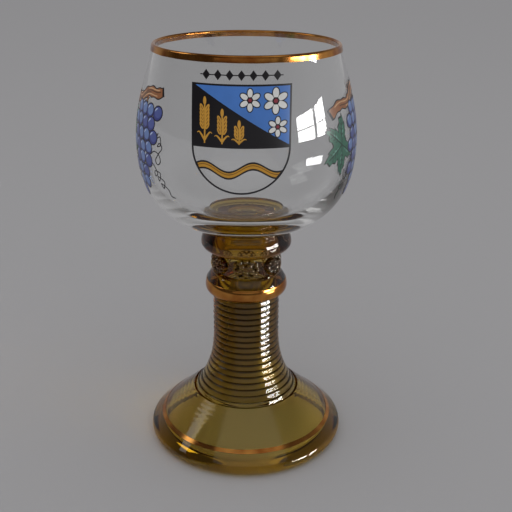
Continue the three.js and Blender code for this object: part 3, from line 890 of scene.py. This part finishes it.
def smooth_path(*knots, steps=8):
    """A smooth line through its knots."""
    k = [np.array(p, float) for p in (knots[0], *knots, knots[-1])]
    points = []
    for a, b, c, d in zip(k, k[1:], k[2:], k[3:]):
        square, cube = 2 * a - 5 * b + 4 * c - d, 3 * b - a - 3 * c + d
        for t in np.linspace(0, 1, steps, endpoint=False):
            points.append(0.5 * (2 * b + (c - a) * t + square * t * t + cube * t ** 3))
    return [tuple(p) for p in points] + [tuple(k[-1])]


def wheat_ear(x, y, height):
    """A gold ear of wheat: a stalk, two leaves and pairs of grains."""
    stalk = [(x, y), (x + WHEAT_STALK_BEND, y + height / 2), (x, y + height)]
    shapes = [(ribbon(stalk, WHEAT_STALK), "gold")]
    for side in (-1, 1):
        leaf = smooth_path(*((x + side * out, y + up * height) for out, up in WHEAT_LEAF))
        shapes.append((ribbon(leaf, np.linspace(*WHEAT_LEAF_WIDTHS, len(leaf))), "gold"))
    pairs = max(3, round(height / GRAIN_STEP))
    for i in range(pairs):
        level = y + height * (GRAIN_START + GRAIN_REST * i / pairs)
        for side in (-1, 1):
            middle, tilt = (x + side * GRAIN_OUT, level), -side * GRAIN_TILT
            shapes.append((ellipse(*middle, *GRAIN_HALF, 14, tilt), "gold"))
            shapes.append((ellipse(*middle, *GRAIN_LINE_HALF, 8, tilt), "amber"))
    shapes.append((ellipse(x, y + height, *TIP_GRAIN_HALF, 14), "gold"))
    return shapes


def rosette(x, y, radius):
    """A white six-petalled flower with black outlines and a red heart."""
    shapes = []
    for colour_name, inset in (("black", 0.0), ("white", PETAL_OUTLINE)):
        half = [share * radius - inset for share in PETAL_HALF]
        for i in range(PETAL_COUNT):
            a = math.pi * (2 * i / PETAL_COUNT + 0.5)
            out = PETAL_OUT * radius
            petal = ellipse(x + out * math.cos(a), y + out * math.sin(a), *half, 18, a)
            shapes.append((petal, colour_name))
    shapes.append((ellipse(x, y, HEART_RIM * radius, HEART_RIM * radius, 14), "black"))
    shapes.append((ellipse(x, y, HEART * radius, HEART * radius, 12), "red"))
    return shapes


def shield_shapes():
    """A round-bottomed shield: wheat on black, rosettes on blue, and a gold wave on bare glass."""
    half, fall = SHIELD_WIDTH / 2, SHIELD_DIVIDE - SHIELD_BOTTOM
    line = SHIELD_LINE

    def round_field(inset, top):
        """The half ellipse under the divide, and straight sides up to a level."""
        below = arc((0, SHIELD_DIVIDE), half - inset, fall - inset, 180, 360, 48)
        return below + [(half - inset, top), (inset - half, top)]

    def inside(x, y, inset):
        return math.hypot(x / (half - inset), (y - SHIELD_DIVIDE) / (fall - inset)) < 1

    def wave_band(width, inset, shift=0.0):
        """The wave, its ends cut to the shield's curve."""
        edges = []
        for side in (-1, 1):
            edge = []
            for x in np.linspace(-half, half, 120):
                swing = WAVE_SWING * math.sin(2 * math.pi * WAVE_COUNT * x / SHIELD_WIDTH)
                y = WAVE_LEVEL + shift + side * width / 2 + swing
                if inside(x, y, inset):
                    edge.append((x, y))
            edges.append(edge)
        return edges[0] + edges[1][::-1]

    shapes = [
        (round_field(0, SHIELD_TOP), "black"),
        (round_field(line, SHIELD_DIVIDE), None),
        (wave_band(WAVE_WIDTH, line / 2), "black"),
        (wave_band(WAVE_WIDTH - 2 * WAVE_OUTLINE, line), "gold"),
        (wave_band(WAVE_STREAK, line, WAVE_STREAK_SHIFT), "amber"),
    ]
    slope = (SHIELD_TOP - SHIELD_DIVIDE) / SHIELD_WIDTH
    blue_field = [
        (-half + line + DIVIDE_LINE / slope, SHIELD_TOP - line),
        (half - line, SHIELD_DIVIDE + line + DIVIDE_LINE),
        (half - line, SHIELD_TOP - line),
    ]
    shapes.append((blue_field, "blue"))
    for x, height in WHEAT_EARS:
        shapes += wheat_ear(x, SHIELD_DIVIDE + WHEAT_LIFT, height)
    for x, y, radius in ROSETTES:
        shapes += rosette(x, y, radius)
    return shapes


def ornament_shapes():
    """A row of lozenges on a thin line."""
    half = ORNAMENT_LENGTH / 2
    string = [(x, ORNAMENT_LEVEL) for x in np.linspace(-half, half, 30)]
    shapes = [(ribbon(string, ORNAMENT_LINE), "black")]
    for i in range(LOZENGE_COUNT):
        x = ORNAMENT_LENGTH / LOZENGE_COUNT * (i - (LOZENGE_COUNT - 1) / 2)
        shapes.append((ellipse(x, ORNAMENT_LEVEL, LOZENGE_WIDTH / 2, LOZENGE_HEIGHT / 2, 4), "black"))
    return shapes


def on_leaf(angle, share):
    """A spot of the leaf, by its angle from the tip in degrees and its share of the way out."""
    a = math.radians(angle + LEAF_TURN)
    x = LEAF_SHIFT + share * LEAF_WIDTH / 2 * math.cos(a)
    y = LEAF_LEVEL + share * LEAF_HEIGHT / 2 * math.sin(a)
    return x, y


def leaf_outline(inset=0.0):
    """A vine leaf: five pointed lobes with toothed edges."""
    points = []
    for i in range(LEAF_STEPS):
        angle = 360 * i / LEAF_STEPS
        size = LEAF_HEART
        for middle, length in LEAF_LOBES:
            away = abs((angle - middle + 180) % 360 - 180)
            size = max(size, length * max(0.0, 1 - away / LEAF_LOBE_SPREAD) ** LEAF_LOBE_POWER)
        tooth = LEAF_TOOTH * (i * LEAF_TEETH / LEAF_STEPS % 1)
        points.append(on_leaf(angle, size * (1 + tooth) - inset))
    return points


def stroke(path, width, colour_name):
    """A pen line that may curl over itself, as short bars that overlap at their ends."""
    shapes = []
    for a, b in zip(path, path[1:]):
        step = math.dist(a, b)
        ux, uy = (b[0] - a[0]) / step * width / 2, (b[1] - a[1]) / step * width / 2
        bar = [
            (a[0] - ux / 2 + uy, a[1] - uy / 2 - ux),
            (b[0] + ux / 2 + uy, b[1] + uy / 2 - ux),
            (b[0] + ux / 2 - uy, b[1] + uy / 2 + ux),
            (a[0] - ux / 2 - uy, a[1] - uy / 2 + ux),
        ]
        shapes.append((bar, colour_name))
    return shapes


def branch_shapes():
    """The cut branch over the bunch, with streaks of bark, and the bunch's stalk."""
    stem = []
    for x in BRANCH_SHIFT + np.linspace(-BRANCH_LENGTH / 2, BRANCH_LENGTH / 2, BRANCH_STEPS):
        swing = BRANCH_SWING * math.sin(4 * math.pi * x / BRANCH_LENGTH)
        stem.append((x, BRANCH_LEVEL + math.tan(BRANCH_SLOPE) * x + swing))
    girth = [1 + BRANCH_KNOTS * math.sin(BRANCH_KNOT_PACE * i) for i in range(BRANCH_STEPS)]
    core = [(BRANCH_WIDTH - 2 * OUTLINE) * g for g in girth[1:-1]]
    shapes = [
        (ribbon(stem, [BRANCH_WIDTH * g for g in girth]), "black"),
        (ribbon(stem[1:-1], core), "brown"),
    ]
    for shift, first, last, tone in BARK_STREAKS:
        streak = [(x, y + shift) for x, y in stem[first:last]]
        shapes.append((ribbon(streak, BARK_WIDTH), tone))
    stalk = smooth_path(*STALK)
    return shapes + [(ribbon(stalk, STALK_WIDTH), "black"), (ribbon(stalk, STALK_CORE), "brown")]


def leaf_shapes():
    """A leaf with light streaks and dark veins."""
    shapes = [(leaf_outline(), "black"), (leaf_outline(LEAF_EDGE), "green")]
    for middle, length in LEAF_LOBES:
        (first, near), (second, half_way), (third, far) = SHEEN_SPOTS
        streak = [
            on_leaf(middle + first, near),
            on_leaf(middle + second, half_way),
            on_leaf(middle + third, far * length),
        ]
        shapes.append((ribbon(streak, SHEEN_WIDTHS), "pale_green"))
    for middle, length in LEAF_LOBES:
        vein = [on_leaf(middle, share) for share in np.linspace(0, VEIN_REACH * length, VEIN_STEPS)]
        shapes += stroke(vein, VEIN_WIDTH, "dark_green")
        for share in TWIG_STARTS:
            for side in (-1, 1):
                turn = side * TWIG_TURN / (TWIG_EASE + share)
                twig = [on_leaf(middle, share), on_leaf(middle + turn, share + TWIG_REACH * length)]
                shapes.append((ribbon(twig, TWIG_WIDTH), "dark_green"))
    return shapes


def grape_shapes(draw):
    """A bunch of round grapes, row by row from the top, each with its shade and gleam."""
    shapes = []
    r = GRAPE_RADIUS
    for row, count in enumerate(BUNCH_ROW_COUNTS):
        stagger = GRAPE_SPACING / 4 * (-1) ** row
        for i in range(count):
            x = BUNCH_SHIFT - BUNCH_LEAN * row + GRAPE_SPACING * (i - (count - 1) / 2) + stagger
            x += draw.uniform(-BUNCH_STRAY, BUNCH_STRAY)
            y = BUNCH_TOP - BUNCH_ROW_PITCH * row + draw.uniform(-BUNCH_STRAY, BUNCH_STRAY)
            skin = "ripe_grape" if draw.random() < RIPE_SHARE else "grape"
            lit = r - OUTLINE - GRAPE_SHADE
            shapes.append((ellipse(x, y, r, r), "black"))
            shapes.append((ellipse(x, y, r - OUTLINE, r - OUTLINE), "violet"))
            shapes.append((ellipse(x + GRAPE_SHADE_SHIFT[0], y + GRAPE_SHADE_SHIFT[1], lit, lit), skin))
            gleam = arc((x, y), GLEAM_OUT * r, GLEAM_OUT * r, *GLEAM_TURN, len(GLEAM_WIDTHS) - 1)
            shapes.append((ribbon(gleam, GLEAM_WIDTHS), "pale_blue"))
    return shapes


def vine_shapes():
    """A bunch of grapes under a cut branch, with a leaf and tendrils."""
    shapes = []
    for knots in TENDRILS:
        shapes += stroke(smooth_path(*knots), PEN, "black")
    return shapes + branch_shapes() + leaf_shapes() + grape_shapes(random.Random(VINE_SEED))


# Materials

def colour(code):
    """An sRGB hex colour as linear light."""
    parts = [int(code[i:i + 2], 16) / 255 for i in (1, 3, 5)]
    return (*((c / 12.92 if c <= 0.04045 else ((c + 0.055) / 1.055) ** 2.4) for c in parts), 1.0)


def add(tree, kind, inputs=(), **settings):
    """Adds a node. An input takes a plain value, or the output socket it is linked from."""
    node = tree.nodes.new(kind)
    for name, value in settings.items():
        setattr(node, name, value)
    for name, value in dict(inputs).items():
        if isinstance(value, bpy.types.NodeSocket):
            tree.links.new(value, node.inputs[name])
        else:
            node.inputs[name].default_value = value
    return node


def new_material(name):
    """An empty material, its tree, and the object's own coordinates in metres."""
    material = bpy.data.materials.new(name)
    material.use_nodes = True
    tree = material.node_tree
    tree.nodes.clear()
    place = add(tree, "ShaderNodeTexCoord").outputs["Object"]
    return material, tree, place


def per_mm(size):
    """Noise scale for features of a size in millimetres."""
    return 1 / (size * MM)


def two_colours(tree, factor, first, second):
    """Mixes two colours, each a value or a socket."""
    mix = add(tree, "ShaderNodeMix", {"Factor": factor, 6: first, 7: second}, data_type="RGBA")
    return mix.outputs[2]


def glass(name, tint, ripple, ripple_size, absorbs=None, strength=0.0, painted_shade=None, inner_skin=None):
    """Glass that lets lamps through to what is behind it, without a seam where pieces are melted together.

    A painted shade colour goes with an inner skin's: the one for shade painted into grooves, valleys and
    seams, the other for the hollow.
    """
    material, tree, place = new_material(name)
    waves = add(tree, "ShaderNodeTexNoise", {"Vector": place, "Scale": per_mm(ripple_size), "Detail": 2.0})
    bump = add(tree, "ShaderNodeBump", {
        "Height": waves.outputs["Fac"], "Distance": ripple * MM, "Strength": 1.0,
    })
    body = add(tree, "ShaderNodeBsdfPrincipled", {
        "Base Color": tint, "Roughness": 0.0, "IOR": 1.5, "Transmission Weight": 1.0,
        "Normal": bump.outputs["Normal"],
    })
    # painted shade: the colour turns dark by the marked amount in grooves, valleys and seams
    if painted_shade:
        depth = add(tree, "ShaderNodeAttribute", attribute_name="painted_shade").outputs["Fac"]
        hollow = add(tree, "ShaderNodeAttribute", attribute_name="hollow").outputs["Fac"]
        skin = two_colours(tree, hollow, tint, inner_skin)
        tree.links.new(two_colours(tree, depth, skin, painted_shade), body.inputs["Base Color"])
        dull = add(tree, "ShaderNodeMath", {0: hollow, 1: HOLLOW_ROUGHNESS}, operation="MULTIPLY")
        tree.links.new(dull.outputs["Value"], body.inputs["Roughness"])
    through = add(tree, "ShaderNodeBsdfTransparent")
    melted = add(tree, "ShaderNodeAttribute", attribute_name="melted")
    joined = add(tree, "ShaderNodeMixShader", {
        "Fac": melted.outputs["Fac"], 1: body.outputs["BSDF"], 2: through.outputs["BSDF"],
    })
    lamp = add(tree, "ShaderNodeLightPath").outputs["Is Shadow Ray"]
    film = add(tree, "ShaderNodeBsdfTransparent", {"Color": (*[FILM_PASSES] * 3, 1.0)})
    shown = add(tree, "ShaderNodeMixShader", {
        "Fac": lamp, 1: joined.outputs["Shader"], 2: film.outputs["BSDF"],
    })
    out = add(tree, "ShaderNodeOutputMaterial", {"Surface": shown.outputs["Shader"]})
    if absorbs:
        inner = add(tree, "ShaderNodeVolumeAbsorption", {"Color": absorbs, "Density": strength})
        tree.links.new(inner.outputs["Volume"], out.inputs["Volume"])
    return material


def pressed_olive_glass():
    """Soda-lime glass coloured with iron and pressed in a mould: olive where thin, brown where thick.

    Its surface is gently wavy. Its grooves, valleys and seams have painted shade, and the wall of the hollow
    is dull.
    """
    return glass(
        "pressed_olive_glass", (1, 1, 1, 1), 0.02, 9,
        absorbs=(0.845, 0.718, 0.07, 1), strength=355.0,
        # the dark brown is painted shade for grooves, valleys and seams
        painted_shade=colour("#1f180c"), inner_skin=colour("#a08f68"),
    )


def blown_clear_glass():
    """Soda-lime glass blown in a mould and fire-polished: colourless, with the faintest ripple."""
    return glass("blown_clear_glass", (0.985, 0.99, 0.987, 1), 0.004, 14)


def ramp(tree, factor, *stops):
    """A colour ramp between two stops, each a position and a colour."""
    node = add(tree, "ShaderNodeValToRGB", {"Fac": factor})
    for element, (position, shade) in zip(node.color_ramp.elements, stops):
        element.position = position
        element.color = shade
    return node.outputs["Color"]


def fired_gold():
    """Liquid gold, brushed on and fired: warm and bright, with fine brush streaks and thin worn spots."""
    material, tree, place = new_material("fired_gold")
    streaks = add(tree, "ShaderNodeTexNoise", {
        "Vector": place, "Scale": per_mm(3), "Detail": 5.0, "Roughness": 0.6,
    })
    wear = add(tree, "ShaderNodeTexNoise", {"Vector": place, "Scale": per_mm(7), "Detail": 3.0})
    tone = ramp(tree, wear.outputs["Fac"], (0.35, colour("#a05e28")), (0.6, colour("#d0924a")))
    gloss = add(tree, "ShaderNodeMapRange", {"Value": streaks.outputs["Fac"], "To Min": 0.08, "To Max": 0.2})
    bump = add(tree, "ShaderNodeBump", {
        "Height": streaks.outputs["Fac"], "Distance": 0.02 * MM, "Strength": 0.6,
    })
    metal = add(tree, "ShaderNodeBsdfPrincipled", {
        "Base Color": tone, "Metallic": 1.0, "Roughness": gloss.outputs["Result"],
        "Normal": bump.outputs["Normal"],
    })
    add(tree, "ShaderNodeOutputMaterial", {"Surface": metal.outputs["BSDF"]})
    return material


def fired_enamel(name, code):
    """Screen-printed vitreous enamel: opaque and softly glossy, uneven by a shade, its surface grainy."""
    material, tree, place = new_material(f"fired_enamel_{name}")
    grain = add(tree, "ShaderNodeTexNoise", {"Vector": place, "Scale": per_mm(0.6), "Detail": 3.0})
    cloud = add(tree, "ShaderNodeTexNoise", {"Vector": place, "Scale": per_mm(5), "Detail": 2.0})
    shade = add(tree, "ShaderNodeMapRange", {"Value": cloud.outputs["Fac"], "To Min": 0.85, "To Max": 1.12})
    tone = add(tree, "ShaderNodeVectorMath", {
        0: colour(code)[:3], "Scale": shade.outputs["Result"],
    }, operation="SCALE")
    bump = add(tree, "ShaderNodeBump", {
        "Height": grain.outputs["Fac"], "Distance": 0.01 * MM, "Strength": 0.5,
    })
    coat = add(tree, "ShaderNodeBsdfPrincipled", {
        "Base Color": tone.outputs["Vector"], "Roughness": 0.32, "Normal": bump.outputs["Normal"],
    })
    add(tree, "ShaderNodeOutputMaterial", {"Surface": coat.outputs["BSDF"]})
    return material


ENAMELS = {name: fired_enamel(name, code) for name, code in {
    "black": "#17141a",
    "blue": "#4076c4",
    "gold": "#c8922e",
    "amber": "#7a4d12",
    "white": "#dcdcda",
    "red": "#8c2a3a",
    "grape": "#6a84bb",
    "ripe_grape": "#505c9c",
    "violet": "#3c4284",
    "pale_blue": "#bccdeb",
    "green": "#37705a",
    "pale_green": "#6ba592",
    "dark_green": "#16382c",
    "brown": "#97603a",
    "bark": "#5e3a1e",
    "tan": "#cfa276",
}.items()}


# The object

def fit(piece, nodes, material=None):
    """Puts a piece in place of its CAD nodes."""
    if material:
        piece.data.materials.append(material)
    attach(piece, "root")
    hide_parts(*nodes)


olive = pressed_olive_glass()
clear = blown_clear_glass()
gold = fired_gold()
fit(glass_foot(), ["domed_foot"], olive)
fit(glass_stem(), ["ribbed_stem"], olive)
fit(glass_bead(), ["bead_ring"], olive)
fit(glass_neck(), ["neck_tube"], olive)
for index in range(PRUNT_COUNT):
    fit(glass_prunt(index), [f"raspberry_prunt_{index + 1}"], olive)
fit(glass_collar(), ["collar_ring"], olive)
fit(glass_bowl(), ["bowl"], clear)
fit(gilt_rim(), ["rim_gilding"], gold)
fit(gilt_bead(), ["bead_gilding"], gold)
fit(gilt_foot_ring(), ["foot_gilding"], gold)
SHIELD_PALETTE = ["black", "blue", "gold", "amber", "white", "red"]
VINE_PALETTE = [
    "grape", "ripe_grape", "violet", "pale_blue", "black",
    "green", "pale_green", "dark_green", "brown", "bark", "tan",
]
shield = enamel_picture("enamel_shield", shield_shapes(), SHIELD_TURN, SHIELD_PALETTE)
fit(shield, ["shield_print"])
ornament = enamel_picture("enamel_ornament", ornament_shapes(), SHIELD_TURN, ["black"])
fit(ornament, ["ornament_print"])
for side, turn in VINE_TURNS.items():
    picture = enamel_picture(f"enamel_vine_{side}", vine_shapes(), turn, VINE_PALETTE)
    fit(picture, [f"grape_print_{side}"])


# Studio

def studio_floor():
    """A plain pale sheet, much larger than the view, a hair under the foot."""
    ends = ((-1, -1), (1, -1), (1, 1), (-1, 1))
    corners = [(x * FLOOR_HALF, y * FLOOR_HALF, FLOOR_LEVEL) for x, y in ends]
    floor = mesh_object("studio_floor", corners, [(0, 1, 2, 3)])
    material, tree, place = new_material("matt_paper")
    grain = add(tree, "ShaderNodeTexNoise", {"Vector": place, "Scale": per_mm(2), "Detail": 2.0})
    gloss = add(tree, "ShaderNodeMapRange", {"Value": grain.outputs["Fac"], "To Min": 0.5, "To Max": 0.6})
    paper = add(tree, "ShaderNodeBsdfPrincipled", {
        "Base Color": colour("#a2a1a3"), "Roughness": gloss.outputs["Result"],
        "Specular IOR Level": 0.0,
    })
    add(tree, "ShaderNodeOutputMaterial", {"Surface": paper.outputs["BSDF"]})
    floor.data.materials.append(material)


def soft_light(
    name, azimuth, elevation, distance, width, height, brightness, gleam_only=True, seen_through=True,
):
    """A rectangular softbox that faces the glass. Azimuth 0 is the camera's side, 90 the right.

    Distances are in metres, and a brightness of 1 is white. A softbox for gleams shows in glass and metal
    and adds no other light. One that isn't seen through the glass shows only where a surface reflects it.
    """
    lamp = bpy.data.lights.new(name, "AREA")
    lamp.shape = "RECTANGLE"
    lamp.size, lamp.size_y = width, height
    lamp.energy = brightness * math.pi * width * height
    holder = bpy.data.objects.new(name, lamp)
    holder.visible_diffuse = not gleam_only
    holder.visible_transmission = seen_through
    a, e = math.radians(azimuth), math.radians(elevation)
    place = Vector((math.sin(a) * math.cos(e), -math.cos(a) * math.cos(e), math.sin(e))) * distance
    aim = Vector((0, 0, AIM_HEIGHT))
    holder.location = aim + place
    holder.rotation_euler = place.to_track_quat("Z", "Y").to_euler()
    bpy.context.scene.collection.objects.link(holder)


def studio_world():
    """An even light on the object. Seen directly or in the glass, it is pale behind and dim in front."""
    world = bpy.data.worlds.new("pale_studio")
    world.use_nodes = True
    tree = world.node_tree
    tree.nodes.clear()
    way = add(tree, "ShaderNodeTexCoord").outputs["Generated"]
    height = add(tree, "ShaderNodeSeparateXYZ", {"Vector": way}).outputs["Z"]
    away = add(tree, "ShaderNodeVectorMath", {0: way, 1: BACKDROP_WAY}, operation="DOT_PRODUCT")
    backdrop = ramp(tree, height, (0.2, colour("#a3a2a3")), (0.6, colour("#5e5c5b")))
    behind = add(tree, "ShaderNodeMapRange", {
        "Value": away.outputs["Value"], "From Min": -0.5, "From Max": 0.35,
    }, interpolation_type="SMOOTHSTEP")
    surroundings = two_colours(tree, behind.outputs["Result"], colour("#413e3c"), backdrop)
    even = add(tree, "ShaderNodeBackground", {"Color": colour("#dcdcdc"), "Strength": 1.0})
    shown = add(tree, "ShaderNodeBackground", {"Color": surroundings, "Strength": 1.0})
    ray = add(tree, "ShaderNodeLightPath").outputs
    straight = add(tree, "ShaderNodeMath", {
        0: ray["Is Camera Ray"], 1: ray["Is Glossy Ray"],
    }, operation="MAXIMUM")
    seen = add(tree, "ShaderNodeMath", {
        0: straight.outputs["Value"], 1: ray["Is Transmission Ray"],
    }, operation="MAXIMUM")
    light = add(tree, "ShaderNodeMixShader", {
        "Fac": seen.outputs["Value"], 1: even.outputs["Background"], 2: shown.outputs["Background"],
    })
    add(tree, "ShaderNodeOutputWorld", {"Surface": light.outputs["Shader"]})
    bpy.context.scene.world = world


def camera():
    """The photograph's view, fitted to the rim, the ribs and the gold ring."""
    focal_pixels, frame_pixels, sensor = 843.9, 512, 36.0
    eye = Vector((3.5, -281.8, 182.6)) * MM
    down, roll = math.radians(21.85), math.radians(0.4)
    data = bpy.data.cameras.new("camera")
    data.sensor_fit = "HORIZONTAL"
    data.sensor_width = sensor
    data.lens = sensor * focal_pixels / frame_pixels
    data.clip_start = 0.01
    view = bpy.data.objects.new("camera", data)
    view.location = eye
    turn = Matrix.Rotation(math.pi / 2 - down, 4, "X") @ Matrix.Rotation(roll, 4, "Z")
    view.rotation_euler = turn.to_euler()
    bpy.context.scene.collection.objects.link(view)
    bpy.context.scene.camera = view


studio_floor()
studio_world()
camera()
for side, azimuth, width in RIGHT_TURNS:
    for row, elevation in RIGHT_ROWS:
        soft_light(
            f"right_softbox_{side}_{row}", azimuth, elevation, distance=0.7,
            width=width, height=0.073, brightness=26, seen_through=False,
        )
for side, azimuth in LEFT_TURNS:
    soft_light(
        f"left_softbox_{side}", azimuth, elevation=42, distance=0.7,
        width=0.14, height=0.24, brightness=1.6,
    )
soft_light(
    "front_softbox", azimuth=0, elevation=12, distance=0.9,
    width=1.3, height=0.16, brightness=0.3, seen_through=False,
)
soft_light(
    "low_gleam", azimuth=70, elevation=-9, distance=0.38,
    width=0.13, height=0.03, brightness=18, seen_through=False,
)
soft_light(
    "top_softbox", azimuth=10, elevation=66, distance=1.0,
    width=1.25, height=1.25, brightness=0.36, gleam_only=False,
)

scene = bpy.context.scene
scene.view_settings.view_transform = "Standard"
scene.cycles.transparent_max_bounces = CLEAR_BOUNCES
scene.cycles.max_bounces = PATH_BOUNCES
scene.cycles.transmission_bounces = PATH_BOUNCES
scene.cycles.glossy_bounces = PATH_BOUNCES
